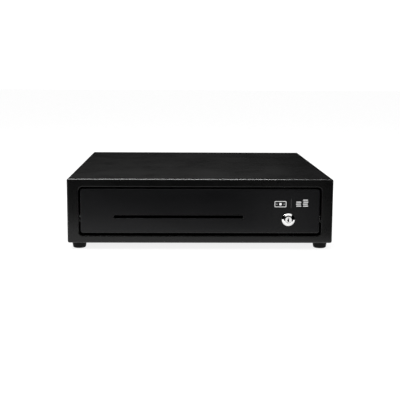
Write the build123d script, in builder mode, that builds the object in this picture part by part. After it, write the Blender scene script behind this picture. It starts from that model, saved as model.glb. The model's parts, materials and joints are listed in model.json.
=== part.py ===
from build123d import *
import math
import os

# Point-of-sale cash drawer: a folded steel cover over a base pan, and a drawer on ball-bearing
# rollers with a moulded front, a key lock, a lift-out cash till and a solenoid latch behind it.
# Millimetres. +X right, +Y to the back, +Z up. The origin is the middle of the footprint,
# on the surface that the feet stand on.

# ---------------------------------------------------------------- driving dimensions

# Casing
width = 410.0
depth = 415.0
height = 100.0  # of the cover, without its feet
foot_height = 10.0
sheet = 1.0  # steel of the cover and the base pan
edge_bend = 3.0  # outer radius of the cover's folds
stile = 17.8  # front frame beside the opening
top_rail = 12.4  # front frame above the opening
bottom_rail = 11.4  # front frame below the opening
opening_radius = 6.5
lip_depth = 8.0  # turned-in edge of the opening
lip_bend = 1.5
rear_flange = 14.0  # turned-in edge of the cover at the back
bottom_flange = 34.0  # turned-in edge of the cover underneath, which carries the feet
pan_gap = 1.2  # between the base pan's sides and the cover
pan_side_height = 52.0
foot_inset = 16.5  # foot centre to the cover's side, and to its front and back
foot_radius = 11.4
foot_tip_radius = 9.8

# Runners
rail_sheet = 1.5
bearing_radius = 8.0
bearing_width = 5.0
axle_radius = 2.5
axle_play = 0.05  # radial, between a pin and what turns on it
shoulder_radius = 4.5
runner_play = 0.2  # between a bearing and the track that it rolls on
runner_drop = 21.3  # bearing axis above the bottom of the opening
rail_reach = 5.0  # drawer rail's flange, out from its web
side_play = 1.0  # between the drawer's rails and the opening
roller_inset = 22.5  # front bearing axis behind the front of the cover
rear_roller_inset = 35.5  # rear bearing axis in front of the back of the cover
travel = 335.0

# Drawer
drawer_sheet = 0.8
front_thickness = 3.0
front_recess = 0.5  # front face behind the frame
front_side_gap = 2.5
front_top_gap = 3.0
front_bottom_gap = 3.9
front_radius = 4.0
front_edge = 1.8
pan_under_gap = 1.7  # drawer pan above the front's lower edge
pan_top_gap = 4.6  # drawer pan's top edge below the front's
latch_space = 59.5  # drawer pan's back wall to the back of the cover
slot_length = 199.4
slot_height = 4.2
slot_shift = -33.7  # slot centre from the middle
slot_rise = 29.7  # slot centre above the bottom of the opening

# Lock
lock_inset = 69.0  # lock axis to the right side of the cover
lock_rise = 25.8  # lock axis above the bottom of the opening
lock_head_radius = 10.0
lock_head_height = 3.6
lock_bevel_radius = 7.0  # inner edge of the bevel round the head
lock_bevel_slope = 36.0
lock_crown = 0.6  # rise of the head from the bevel to the plug
lock_body_radius = 7.9
lock_body_length = 24.0
plug_radius = 5.2
cam_length = 30.0
cam_sheet = 2.0
rod_radius = 2.0
finger_length = 21.0  # cranked end of the release rod, from its axis

# Till
till_wall = 2.2
till_play = 1.2  # between the till and the drawer pan
till_setback = 28.0  # till behind the drawer pan's front wall
till_rim_gap = 4.6  # till rim below the top of the opening
media_space = 26.7  # under the till's floor, for cheques from the slot
coin_depth = 117.0
coin_rows, coin_columns, bill_count = 2, 4, 5
cup_wall = 1.8
cup_scoop = 15.0  # radius of the curved front and back of a coin cup
clip_length = 76.0
clip_rod_radius = 1.5

# Latch
latch_sheet = 2.5
latch_turn = 18.0  # degrees between released and engaged
striker_radius = 3.0
striker_reach = 21.0  # striker pin behind the drawer pan's back wall
pivot_reach = 40.0  # lever pivot behind that wall
plunger_radius = 4.5
eject_radius = 7.0

# ---------------------------------------------------------------- places worked out from them

SIDES = (("left", -1), ("right", 1))

front_y = -depth / 2
rear_y = depth / 2
floor_z = foot_height  # underside of the cover
top_z = foot_height + height
casing_z = (floor_z + top_z) / 2
pan_floor_z = floor_z + 2 * sheet  # top face of the base pan's floor
pan_outer = width / 2 - sheet - pan_gap  # outer faces of the base pan's sides
pan_inner = pan_outer - sheet

opening_width = width - 2 * stile
opening_bottom = floor_z + bottom_rail
opening_top = top_z - top_rail
opening_height = opening_top - opening_bottom
opening_z = (opening_bottom + opening_top) / 2
opening_half = opening_width / 2

runner_z = opening_bottom + runner_drop
front_axle_y = front_y + roller_inset
rear_axle_y = rear_y - rear_roller_inset
rail_web_in = pan_inner - rail_sheet  # inner face of a fixed rail's web
rail_edge = opening_half + 0.8  # inner edge of a fixed rail's flanges
track_half = bearing_radius + runner_play
drawer_half = opening_half - side_play - rail_reach - rail_sheet + 0.3
drawer_rail_sheet = 1.2
drawer_rail_out = drawer_half + drawer_rail_sheet  # outer face of a drawer rail's web

face_y = front_y + front_recess  # drawer front's outer face
wall_y = face_y + front_thickness  # its back, and the drawer pan's front wall
back_wall_y = rear_y - latch_space  # outer face of the drawer pan's back wall
front_bottom = opening_bottom + front_bottom_gap
front_top = opening_top - front_top_gap
front_width = opening_width - 2 * front_side_gap
front_z = (front_bottom + front_top) / 2
pan_bottom = front_bottom + pan_under_gap
pan_top = front_top - pan_top_gap
drawer_floor_z = pan_bottom + drawer_sheet
drawer_length = back_wall_y - wall_y
drawer_mid_y = (back_wall_y + wall_y) / 2
slot_z = opening_bottom + slot_rise

lock_x = width / 2 - lock_inset
lock_z = opening_bottom + lock_rise
lock_tail_y = face_y + lock_body_length
cam_y = lock_tail_y + 0.5
finger_y = back_wall_y + 14.0

till_half = drawer_half - drawer_sheet - till_play
till_front = wall_y + till_setback
till_back = back_wall_y - drawer_sheet - 2.2
till_top = opening_top - till_rim_gap
till_floor = drawer_floor_z + media_space + till_wall
till_inner = till_half - till_wall
coin_back = till_front + till_wall + coin_depth
bill_front = coin_back + 0.6 + till_wall
bill_back = till_back - till_wall
bill_width = (2 * till_inner - (bill_count - 1) * till_wall) / bill_count
clip_y = bill_back - 9.0
clip_z = till_top - 9.0

striker_x = lock_x - 16.0
striker_y = back_wall_y + striker_reach
striker_plate_z = lock_z + 24.0
pivot_x = lock_x - 34.0
pivot_y = back_wall_y + pivot_reach
latch_z = lock_z + 0.05  # middle of the lever's thickness
bracket_top = latch_z - 12.75
link_reach = 14.0
arm_y = pivot_y - link_reach  # where the plunger takes hold of the lever
stroke = link_reach * math.tan(math.radians(latch_turn))
solenoid_face = pivot_x - 18.0  # end plate that the plunger comes out of
solenoid_length = 38.0
solenoid_width = 26.0
yoke_sheet = 2.0
link_x = pivot_x - stroke  # link pin, with the plunger pulled in

os.makedirs("parts", exist_ok=True)


def save(piece, label):
    """Names a finished piece and writes its STEP file."""
    piece.label = label
    export_step(piece, f"parts/{label}.step")


def along_x(x, y, z):
    """A location whose own Z axis points along +X."""
    return Location((x, y, z), (0, 90, 0))


def along_y(x, y, z):
    """A location whose own Z axis points along +Y."""
    return Location((x, y, z), (-90, 0, 0))


def facing_front(x, y, z):
    """A plane that faces the front, with its own X to the right and its own Y up."""
    return Plane(origin=(x, y, z), x_dir=(1, 0, 0), z_dir=(0, -1, 0))


def rod_x(x0, x1, y, z, radius, mode=Mode.ADD):
    """A round bar along X, from x0 to x1."""
    with Locations(along_x((x0 + x1) / 2, y, z)):
        Cylinder(radius, abs(x1 - x0), mode=mode)


def rod_y(y0, y1, x, z, radius, mode=Mode.ADD):
    """A round bar along Y, from y0 to y1."""
    with Locations(along_y(x, (y0 + y1) / 2, z)):
        Cylinder(radius, abs(y1 - y0), mode=mode)


def rod_z(z0, z1, x, y, radius, mode=Mode.ADD):
    """A round bar along Z, from z0 to z1."""
    with Locations((x, y, (z0 + z1) / 2)):
        Cylinder(radius, abs(z1 - z0), mode=mode)


def block(x0, x1, y0, y1, z0, z1, mode=Mode.ADD):
    """A box between two corners."""
    with Locations(((x0 + x1) / 2, (y0 + y1) / 2, (z0 + z1) / 2)):
        Box(abs(x1 - x0), abs(y1 - y0), abs(z1 - z0), mode=mode)


# ---------------------------------------------------------------- casing

foot_places = [
    (sx * (width / 2 - foot_inset), sy * (depth / 2 - foot_inset - 2.0))
    for sx in (-1, 1)
    for sy in (-1, 1)
]
foot_screw_radius = 2.0
rear_screw_radius = 1.75
rear_screw_places = [
    (sx * (width / 2 - rear_flange / 2 - 0.5), z)
    for sx in (-1, 1)
    for z in (floor_z + 24.0, top_z - 20.0)
]
jack_x = lock_x - 130.0
jack_z = pan_floor_z + 8.0
jack_width, jack_height, jack_length = 14.0, 12.0, 17.0
post_z = casing_z

with BuildPart() as cover_cavity:
    with Locations((0, 0, casing_z)):
        Box(width - 2 * sheet, depth - 2 * sheet, height - 2 * sheet)
    fillet(cover_cavity.edges(), radius=edge_bend - sheet)

with BuildPart() as top_cover:
    with Locations((0, 0, casing_z)):
        Box(width, depth, height)
    fillet(top_cover.edges(), radius=edge_bend)
    add(cover_cavity.part, mode=Mode.SUBTRACT)
    # turned-in lip of the front opening
    with BuildSketch(facing_front(0, front_y, opening_z)):
        RectangleRounded(
            opening_width + 2 * sheet, opening_height + 2 * sheet, opening_radius + sheet
        )
    extrude(amount=-lip_depth)
    with BuildSketch(facing_front(0, front_y, opening_z)):
        RectangleRounded(opening_width, opening_height, opening_radius)
    extrude(amount=-lip_depth, mode=Mode.SUBTRACT)
    front_sheet = top_cover.faces().sort_by(Axis.Y)[0]
    fillet(front_sheet.inner_wires()[0].edges(), radius=lip_bend)
    # back and underside are open inside their flanges
    block(
        -width / 2 + rear_flange, width / 2 - rear_flange, rear_y - 2 * sheet, rear_y + 1,
        floor_z - 1, top_z - rear_flange, Mode.SUBTRACT,
    )
    block(
        -width / 2 + bottom_flange, width / 2 - bottom_flange, front_y + rear_flange, rear_y + 1,
        floor_z - 1, floor_z + 2 * sheet, Mode.SUBTRACT,
    )
    for x, y in foot_places:
        rod_z(floor_z - 1, floor_z + 2 * sheet, x, y, foot_screw_radius + 0.05, Mode.SUBTRACT)
    for x, z in rear_screw_places:
        rod_y(rear_y - 2 * sheet, rear_y + 1, x, z, rear_screw_radius + 0.05, Mode.SUBTRACT)
save(top_cover.part, "top_cover")

pan_front = front_y + sheet + 0.2
pan_back = rear_y - sheet
bracket_screws = [
    (x, y)
    for x in (solenoid_face - solenoid_length - 12.0, pivot_x + 15.0)
    for y in (pivot_y - 14.0, pivot_y + 8.0)
]
bracket_screw_radius = 1.5
keeper_y = cam_y - 3.0
with BuildPart() as base_pan:
    block(-pan_outer, pan_outer, pan_front, pan_back, floor_z + sheet, pan_floor_z)
    for _, s in SIDES:
        block(
            s * pan_inner, s * pan_outer, pan_front, pan_back,
            floor_z + sheet, floor_z + sheet + pan_side_height,
        )
    block(-pan_outer, pan_outer, pan_back - sheet, pan_back, floor_z + sheet, top_z - sheet - 0.4)
    add(cover_cavity.part, mode=Mode.INTERSECT)
    for x, y in foot_places:
        rod_z(floor_z, pan_floor_z + 1, x, y, foot_screw_radius + 0.05, Mode.SUBTRACT)
    for x, y in bracket_screws:
        rod_z(floor_z, pan_floor_z + 1, x, y, bracket_screw_radius + 0.05, Mode.SUBTRACT)
    for x, z in rear_screw_places:
        rod_y(pan_back - 2 * sheet, pan_back + 1, x, z, rear_screw_radius + 0.05, Mode.SUBTRACT)
    # socket for the printer cable
    block(
        jack_x - jack_width / 2 - 0.3, jack_x + jack_width / 2 + 0.3,
        pan_back - 2 * sheet, pan_back + 1,
        jack_z - 0.3, jack_z + jack_height + 0.3, Mode.SUBTRACT,
    )
    rod_y(pan_back - 2 * sheet, pan_back + 1, 0, post_z, 2.55, Mode.SUBTRACT)
save(base_pan.part, "base_pan")

for n, (x, y) in enumerate(foot_places):
    with BuildPart() as foot:
        with Locations((x, y, foot_height / 2)):
            Cone(bottom_radius=foot_tip_radius, top_radius=foot_radius, height=foot_height)
        fillet(foot.edges().group_by(Axis.Z)[0], radius=2.4)
        with Locations(Location((x, y, 0), (180, 0, 0))):
            CounterBoreHole(
                radius=foot_screw_radius + 0.2, counter_bore_radius=5.0, counter_bore_depth=5.0
            )
    side = "left" if x < 0 else "right"
    end = "front" if y < 0 else "rear"
    save(foot.part, f"foot_{end}_{side}")

with BuildPart() as foot_screws:
    for x, y in foot_places:
        rod_z(2.6, 5.0, x, y, 4.0)
        rod_z(5.0, pan_floor_z + 2.0, x, y, foot_screw_radius)
        with Locations((x, y, 2.6)):
            Box(5.0, 1.0, 1.4, mode=Mode.SUBTRACT)
save(foot_screws.part, "foot_screws")

with BuildPart() as cover_screws:
    for x, z in rear_screw_places:
        rod_y(pan_back - 5.0, rear_y, x, z, rear_screw_radius)
        rod_y(rear_y, rear_y + 2.2, x, z, 3.6)
    fillet(cover_screws.edges().group_by(Axis.Y)[-1], radius=1.2)
    for x, z in rear_screw_places:
        for turn in (45, -45):
            with Locations(Location((x, rear_y + 2.2, z), (0, turn, 0))):
                Box(4.2, 2.4, 0.9, mode=Mode.SUBTRACT)
save(cover_screws.part, "cover_screws")

with BuildPart() as lock_keeper:
    block(lock_x - 12, lock_x + 12, keeper_y - 14.0, keeper_y, pan_floor_z, pan_floor_z + 1.5)
    block(
        lock_x - 12, lock_x + 12, keeper_y - 1.5, keeper_y,
        pan_floor_z, pan_bottom - 2.0,
    )
    fillet(
        lock_keeper.edges().filter_by(Axis.X).group_by(Axis.Z)[0].sort_by(Axis.Y)[-1], radius=1.4
    )
save(lock_keeper.part, "lock_keeper")

# ---------------------------------------------------------------- runners

track_low = runner_z - track_half
track_high = runner_z + track_half
rail_rivet_ys = [front_y + depth * k for k in (0.15, 0.5, 0.85)]
stop_y = rear_axle_y - travel - bearing_radius - 0.8  # face of the stop tab

for side, s in SIDES:
    with BuildPart() as fixed_rail:
        rail_front = front_y + lip_depth + 1.0
        rail_back = rear_axle_y + bearing_radius + 6.0
        block(
            s * rail_edge, s * pan_inner, rail_front, rail_back,
            track_low - rail_sheet, track_high + rail_sheet,
        )
        block(
            s * (rail_edge - 1), s * rail_web_in, rail_front - 1, rail_back + 1,
            track_low, track_high, Mode.SUBTRACT,
        )
        fillet(
            fixed_rail.edges().filter_by(Axis.Y).group_by(Axis.X)[-1 if s > 0 else 0],
            radius=rail_sheet,
        )
        # tab that stops the drawer's rear bearing
        block(
            s * (rail_edge + 1), s * (rail_edge + 9), stop_y - rail_sheet, stop_y,
            track_low, runner_z,
        )
        for y in rail_rivet_ys:
            rod_x(s * rail_web_in, s * pan_inner, y, runner_z, 2.0, Mode.SUBTRACT)
        rod_x(s * rail_web_in, s * pan_inner, front_axle_y, runner_z, 3.0, Mode.SUBTRACT)
    save(fixed_rail.part, f"fixed_rail_{side}")

with BuildPart() as rail_rivets:
    for _, s in SIDES:
        for y in rail_rivet_ys:
            rod_x(s * (rail_web_in - 1.0), s * rail_web_in, y, runner_z, 3.5)
            rod_x(s * rail_web_in, s * pan_inner, y, runner_z, 1.95)
save(rail_rivets.part, "rail_rivets")

fixed_bearing_in = drawer_rail_out + 0.5  # inner face of a front bearing
fixed_bearing_out = fixed_bearing_in + bearing_width
moving_bearing_in = rail_edge + 1.2  # inner face of a rear bearing
moving_bearing_out = moving_bearing_in + bearing_width


def bearing(x_near, x_far, y, recess_x):
    """A ball-bearing roller's turning ring and shields, with a recess for its rivet head."""
    with BuildPart() as roller:
        rod_x(x_near, x_far, y, runner_z, bearing_radius)
        chamfer(roller.edges().filter_by(GeomType.CIRCLE), length=0.5)
        for x in (x_near, x_far):
            inward = 0.4 if x == min(x_near, x_far) else -0.4
            rod_x(x, x + inward, y, runner_z, bearing_radius - 1.8, Mode.SUBTRACT)
        rod_x(x_near, x_far, y, runner_z, axle_radius + axle_play, Mode.SUBTRACT)
        inward = 1.2 if recess_x == min(x_near, x_far) else -1.2
        rod_x(recess_x, recess_x + inward, y, runner_z, axle_radius + 1.4, Mode.SUBTRACT)
    return roller.part


with BuildPart() as front_axles:
    for _, s in SIDES:
        rod_x(s * (fixed_bearing_out + 0.1), s * rail_web_in, front_axle_y, runner_z, shoulder_radius)
        rod_x(
            s * (fixed_bearing_in + 0.6), s * (fixed_bearing_out + 0.1),
            front_axle_y, runner_z, axle_radius,
        )
        rod_x(
            s * (fixed_bearing_in + 0.2), s * (fixed_bearing_in + 1.0),
            front_axle_y, runner_z, axle_radius + 1.0,
        )
        rod_x(s * rail_web_in, s * pan_inner, front_axle_y, runner_z, 2.95)
save(front_axles.part, "front_axles")

with BuildPart() as rear_axles:
    for _, s in SIDES:
        rod_x(s * drawer_rail_out, s * (moving_bearing_in - 0.1), rear_axle_y, runner_z, shoulder_radius)
        rod_x(
            s * (moving_bearing_in - 0.1), s * (moving_bearing_out - 0.6),
            rear_axle_y, runner_z, axle_radius,
        )
        rod_x(
            s * (moving_bearing_out - 1.0), s * (moving_bearing_out - 0.2),
            rear_axle_y, runner_z, axle_radius + 1.0,
        )
        rod_x(s * (drawer_half - 1.2), s * drawer_rail_out, rear_axle_y, runner_z, axle_radius)
        rod_x(s * (drawer_half - 1.2), s * drawer_half, rear_axle_y, runner_z, 4.0)
save(rear_axles.part, "rear_axles")

for side, s in SIDES:
    save(
        bearing(s * fixed_bearing_in, s * fixed_bearing_out, front_axle_y, s * fixed_bearing_in),
        f"front_bearing_{side}",
    )
    save(
        bearing(s * moving_bearing_in, s * moving_bearing_out, rear_axle_y, s * moving_bearing_out),
        f"rear_bearing_{side}",
    )

drawer_rail_ys = [wall_y + drawer_length * k for k in (0.12, 0.5, 0.88)]
drawer_rivet_z = runner_z + 2.0
for side, s in SIDES:
    with BuildPart() as drawer_rail:
        block(
            s * drawer_half, s * drawer_rail_out, wall_y + drawer_sheet, rear_axle_y + 7.0,
            runner_z - 9.0, track_high + drawer_rail_sheet,
        )
        block(
            s * drawer_half, s * (drawer_rail_out + rail_reach), wall_y + drawer_sheet,
            rear_axle_y + 7.0, track_high, track_high + drawer_rail_sheet,
        )
        for y in drawer_rail_ys:
            rod_x(s * drawer_half, s * drawer_rail_out, y, drawer_rivet_z, 1.6, Mode.SUBTRACT)
        rod_x(s * drawer_half, s * drawer_rail_out, rear_axle_y, runner_z, axle_radius, Mode.SUBTRACT)
    save(drawer_rail.part, f"drawer_rail_{side}")

with BuildPart() as drawer_rivets:
    for _, s in SIDES:
        for y in drawer_rail_ys:
            rod_x(s * (drawer_half - drawer_sheet), s * drawer_rail_out, y, drawer_rivet_z, 1.55)
            rod_x(
                s * (drawer_half - drawer_sheet - 0.8), s * (drawer_half - drawer_sheet),
                y, drawer_rivet_z, 3.0,
            )
save(drawer_rivets.part, "drawer_rivets")

# ---------------------------------------------------------------- drawer

front_screw_places = [
    (s * (drawer_half - 14.0), z) for s in (-1, 1) for z in (pan_bottom + 8.0, pan_top - 6.0)
]
cam_slot = (lock_x - 25.0, lock_x + 9.0)
with BuildPart() as drawer_pan:
    block(-drawer_half, drawer_half, wall_y, back_wall_y, pan_bottom, pan_top)
    fillet(drawer_pan.edges().filter_by(Axis.Z), radius=1.6)
    block(
        -drawer_half + drawer_sheet, drawer_half - drawer_sheet,
        wall_y + drawer_sheet, back_wall_y - drawer_sheet,
        drawer_floor_z, pan_top + 1, Mode.SUBTRACT,
    )
    # media slot, lock and bosses of the front
    block(
        slot_shift - slot_length / 2 - 1.5, slot_shift + slot_length / 2 + 1.5,
        wall_y - 1, wall_y + 2 * drawer_sheet,
        slot_z - slot_height / 2 - 1.0, slot_z + slot_height / 2 + 1.0, Mode.SUBTRACT,
    )
    rod_y(wall_y - 1, wall_y + 2 * drawer_sheet, lock_x, lock_z, lock_body_radius + 0.2, Mode.SUBTRACT)
    for x, z in front_screw_places:
        rod_y(wall_y - 1, wall_y + 2 * drawer_sheet, x, z, 4.6, Mode.SUBTRACT)
    # slot that the lock's cam drops through
    block(
        *cam_slot, cam_y - 1.5, cam_y + cam_sheet + 1.5, pan_bottom - 1, drawer_floor_z + 1,
        Mode.SUBTRACT,
    )
    rod_y(back_wall_y - 2, back_wall_y + 1, lock_x, lock_z, rod_radius + 2.0, Mode.SUBTRACT)
    for _, s in SIDES:
        for y in drawer_rail_ys:
            rod_x(
                s * (drawer_half - 2 * drawer_sheet), s * drawer_half, y, drawer_rivet_z, 1.6,
                Mode.SUBTRACT,
            )
save(drawer_pan.part, "drawer_pan")

with BuildPart() as drawer_front:
    with BuildSketch(facing_front(0, wall_y, front_z)):
        RectangleRounded(front_width, front_top - front_bottom, front_radius)
    extrude(amount=front_thickness)
    fillet(drawer_front.faces().sort_by(Axis.Y)[0].edges(), radius=front_edge)
    with BuildSketch(facing_front(slot_shift, wall_y, slot_z)):
        RectangleRounded(slot_length, slot_height, 1.4)
    extrude(amount=front_thickness, mode=Mode.SUBTRACT)
    chamfer(drawer_front.faces().sort_by(Axis.Y)[0].inner_wires()[0].edges(), length=0.7)
    rod_y(face_y - 1, wall_y + 1, lock_x, lock_z, lock_body_radius + 0.1, Mode.SUBTRACT)
    for x, z in front_screw_places:
        rod_y(wall_y, wall_y + drawer_sheet, x, z, 4.5)
        rod_y(wall_y - 2.2, wall_y + drawer_sheet, x, z, 1.45, Mode.SUBTRACT)
save(drawer_front.part, "drawer_front")

with BuildPart() as front_screws:
    for x, z in front_screw_places:
        rod_y(wall_y - 2.0, wall_y + drawer_sheet, x, z, 1.4)
        rod_y(wall_y + drawer_sheet, wall_y + drawer_sheet + 2.2, x, z, 5.5)
    fillet(front_screws.edges().group_by(Axis.Y)[-1], radius=1.0)
save(front_screws.part, "front_screws")

# ---------------------------------------------------------------- lock and release rod

lock_axis = Axis((lock_x, 0, lock_z), (0, 1, 0))
lock_section = Plane(origin=(lock_x, 0, lock_z), x_dir=(1, 0, 0), z_dir=(0, 0, 1))
head_y = face_y - lock_head_height
bevel_y = head_y + lock_crown
bevel_drop = (lock_head_radius - lock_bevel_radius) * math.tan(math.radians(lock_bevel_slope))
with BuildPart() as lock_barrel:
    with BuildSketch(lock_section):
        with BuildLine():
            Polyline(
                (plug_radius + axle_play, head_y),
                (plug_radius + axle_play, lock_tail_y),
                (lock_body_radius, lock_tail_y),
                (lock_body_radius, face_y),
                (lock_head_radius, face_y),
                (lock_head_radius, bevel_y + bevel_drop),
                (lock_bevel_radius, bevel_y),
                close=True,
            )
        make_face()
    revolve(axis=lock_axis)
    head_rim = lock_barrel.edges().filter_by(GeomType.CIRCLE).filter_by(
        lambda e: e.radius > lock_head_radius - 0.01 and e.bounding_box().max.Y < face_y - 0.01
    )
    fillet(head_rim, radius=0.6)
save(lock_barrel.part, "lock_barrel")

plug_face = head_y + 0.3
tail_radius = 2.5
with BuildPart() as lock_plug:
    rod_y(plug_face, lock_tail_y + 0.3, lock_x, lock_z, plug_radius)
    chamfer(lock_plug.edges().group_by(Axis.Y)[0], length=0.5)
    rod_y(lock_tail_y + 0.3, cam_y + cam_sheet + 6.0, lock_x, lock_z, tail_radius)
    # keyway, with a side ward
    block(
        lock_x - 1.0, lock_x + 1.0, plug_face - 1, plug_face + 15.0,
        lock_z - 3.6, lock_z + 3.6, Mode.SUBTRACT,
    )
    block(
        lock_x - 1.9, lock_x + 0.5, plug_face - 1, plug_face + 15.0,
        lock_z - 1.6, lock_z + 0.4, Mode.SUBTRACT,
    )
save(lock_plug.part, "lock_plug")

nut_y = wall_y + drawer_sheet
with BuildPart() as lock_nut:
    with BuildSketch(facing_front(lock_x, nut_y, lock_z)):
        RegularPolygon(radius=11.0, side_count=6, major_radius=False)
        Circle(lock_body_radius + 0.05, mode=Mode.SUBTRACT)
    extrude(amount=-3.0)
save(lock_nut.part, "lock_nut")

# At rest the cam points to -X. A turn to -90 degrees drops it behind the keeper.
with BuildPart() as lock_cam:
    with BuildSketch(facing_front(lock_x, cam_y, lock_z)):
        Circle(7.0)
        with Locations((-cam_length / 2 + 3.0, 0)):
            SlotOverall(cam_length + 6.0, 12.0)
        Circle(tail_radius + 0.05, mode=Mode.SUBTRACT)
    extrude(amount=-cam_sheet)
save(lock_cam.part, "lock_cam")

socket_start = cam_y + cam_sheet + 0.2
socket_end = socket_start + 14.0
rod_path_points = [
    (lock_x, socket_end - 6.0, lock_z),
    (lock_x, finger_y, lock_z),
    (lock_x, finger_y, lock_z - finger_length),
]
with BuildPart() as release_rod:
    with BuildLine() as rod_path:
        FilletPolyline(*rod_path_points, radius=6.0)
    with BuildSketch(facing_front(*rod_path_points[0])):
        Circle(rod_radius)
    sweep(path=rod_path.line)
    # swaged socket over the tail of the lock's plug
    rod_y(socket_start, socket_end, lock_x, lock_z, 5.0)
    chamfer(release_rod.faces().sort_by(Axis.Y)[0].edges(), length=0.5)
    rod_y(socket_start - 1, socket_start + 6.2, lock_x, lock_z, tail_radius + 0.05, Mode.SUBTRACT)
save(release_rod.part, "release_rod")

with BuildPart() as rod_bush:
    rod_y(back_wall_y - drawer_sheet - 1.5, back_wall_y - drawer_sheet, lock_x, lock_z, 6.5)
    rod_y(back_wall_y - drawer_sheet, back_wall_y + 1.5, lock_x, lock_z, rod_radius + 1.95)
    rod_y(back_wall_y - 5, back_wall_y + 5, lock_x, lock_z, rod_radius + axle_play, Mode.SUBTRACT)
save(rod_bush.part, "rod_bush")

# ---------------------------------------------------------------- till, coin insert and bill clips

bill_edges = [-till_inner + k * (bill_width + till_wall) for k in range(bill_count)]
with BuildPart() as cash_till:
    block(-till_half, till_half, till_front, till_back, drawer_floor_z + 0.2, till_top)
    fillet(cash_till.edges().filter_by(Axis.Z), radius=4.0)
    # media space under the floor, open to the front
    block(
        -till_inner, till_inner, till_front - 1, bill_back,
        drawer_floor_z - 1, till_floor - till_wall, Mode.SUBTRACT,
    )
    block(
        -till_inner, till_inner, till_front + till_wall, coin_back + 0.6,
        till_floor, till_top + 1, Mode.SUBTRACT,
    )
    for x in bill_edges:
        with BuildSketch(Plane.YZ.offset(x)) as bill_section:
            with Locations(((bill_front + bill_back) / 2, (till_floor + till_top + 8) / 2)):
                Rectangle(bill_back - bill_front, till_top + 8 - till_floor)
            fillet(bill_section.vertices().group_by(Axis.Z)[0], radius=5.0)
        extrude(amount=bill_width, mode=Mode.SUBTRACT)
    # dividers dip in front so that fingers reach the notes
    with BuildSketch(Plane.YZ.offset(-till_inner)):
        with Locations((bill_front + 55.0, till_top)):
            SlotOverall(90.0, 24.0)
    extrude(amount=2 * till_inner, mode=Mode.SUBTRACT)
    rod_x(-till_half, till_half, clip_y, clip_z, clip_rod_radius + 0.05, Mode.SUBTRACT)
    # notch over the lock's release rod
    block(
        lock_x - 5, lock_x + 5, bill_back - 1, till_back + 1,
        drawer_floor_z, lock_z + 5, Mode.SUBTRACT,
    )
save(cash_till.part, "cash_till")

insert_half = till_inner - 0.5
insert_front = till_front + till_wall + 0.5
insert_back = coin_back
insert_top = till_top - 1.0
cup_width = (2 * insert_half - (coin_columns + 1) * cup_wall) / coin_columns
cup_length = (insert_back - insert_front - (coin_rows + 1) * cup_wall) / coin_rows
scoop = min(cup_scoop, 0.45 * cup_length, 0.45 * (insert_top - till_floor - cup_wall))
with BuildPart() as coin_insert:
    block(-insert_half, insert_half, insert_front, insert_back, till_floor + 0.1, insert_top)
    fillet(coin_insert.edges().filter_by(Axis.Z), radius=2.5)
    for row in range(coin_rows):
        cup_y = insert_front + cup_wall + row * (cup_length + cup_wall)
        for column in range(coin_columns):
            cup_x = -insert_half + cup_wall + column * (cup_width + cup_wall)
            with BuildSketch(Plane.YZ.offset(cup_x)) as cup_section:
                with Locations((cup_y + cup_length / 2, (till_floor + cup_wall + insert_top + 8) / 2)):
                    Rectangle(cup_length, insert_top + 8 - till_floor - cup_wall)
                fillet(cup_section.vertices().group_by(Axis.Z)[0], radius=scoop)
            extrude(amount=cup_width, mode=Mode.SUBTRACT)
save(coin_insert.part, "coin_insert")

with BuildPart() as clip_rod:
    rod_x(-till_half + 0.4, till_half - 0.4, clip_y, clip_z, clip_rod_radius)
save(clip_rod.part, "clip_rod")

clip_drop = clip_z - till_floor - 4.4  # hub centre down to the centre of the tip
clip_reach = math.sqrt(clip_length**2 - clip_drop**2)
clip_width = 15.0
hub_radius = 4.2
clip_tip = (clip_y - clip_reach, clip_z - clip_drop)
for n, x in enumerate(bill_edges):
    middle = x + bill_width / 2
    with BuildPart() as bill_clip:
        with BuildSketch(Plane.YZ.offset(middle - clip_width / 2)):
            with BuildLine():
                knee = (clip_y - clip_reach * 0.55, clip_z - clip_drop * 0.30)
                Spline((clip_y - 2.0, clip_z + 1.8), knee, (clip_tip[0], clip_tip[1] + 1.6))
                Line((clip_tip[0], clip_tip[1] + 1.6), (clip_tip[0], clip_tip[1] - 0.8))
                Spline(
                    (clip_tip[0], clip_tip[1] - 0.8),
                    (knee[0], knee[1] - 2.6),
                    (clip_y - 2.0, clip_z - 1.8),
                )
                Line((clip_y - 2.0, clip_z - 1.8), (clip_y - 2.0, clip_z + 1.8))
            make_face()
        extrude(amount=clip_width)
        rod_x(middle - clip_width / 2, middle + clip_width / 2, *clip_tip, 3.6)
        rod_x(middle - 11.0, middle + 11.0, clip_y, clip_z, hub_radius)
        rod_x(middle - 12.0, middle + 12.0, clip_y, clip_z, clip_rod_radius + axle_play, Mode.SUBTRACT)
    save(bill_clip.part, f"bill_clip_{n + 1}")

# ---------------------------------------------------------------- striker, ejector and latch

with BuildPart() as striker:
    block(
        striker_x - 14, striker_x + 14, back_wall_y, back_wall_y + 1.5,
        striker_plate_z - 12.0, striker_plate_z + 6.0,
    )
    block(
        striker_x - 7, striker_x + 7, back_wall_y, striker_y + 6.0,
        striker_plate_z, striker_plate_z + 2.0,
    )
    fillet(
        striker.edges().filter_by(Axis.Z).group_by(Axis.Y)[-1], radius=5.0
    )
    for _, s in SIDES:
        with BuildSketch(Plane.YZ.offset(striker_x + s * 6.25 - 0.75)):
            with BuildLine():
                Polyline(
                    (back_wall_y + 1.0, striker_plate_z + 0.5),
                    (back_wall_y + 1.0, striker_plate_z - 9.0),
                    (back_wall_y + 10.0, striker_plate_z + 0.5),
                    close=True,
                )
            make_face()
        extrude(amount=1.5)
    rod_z(
        striker_plate_z - 1, striker_plate_z + 3, striker_x, striker_y,
        striker_radius - 0.5, Mode.SUBTRACT,
    )
save(striker.part, "striker")

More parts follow.
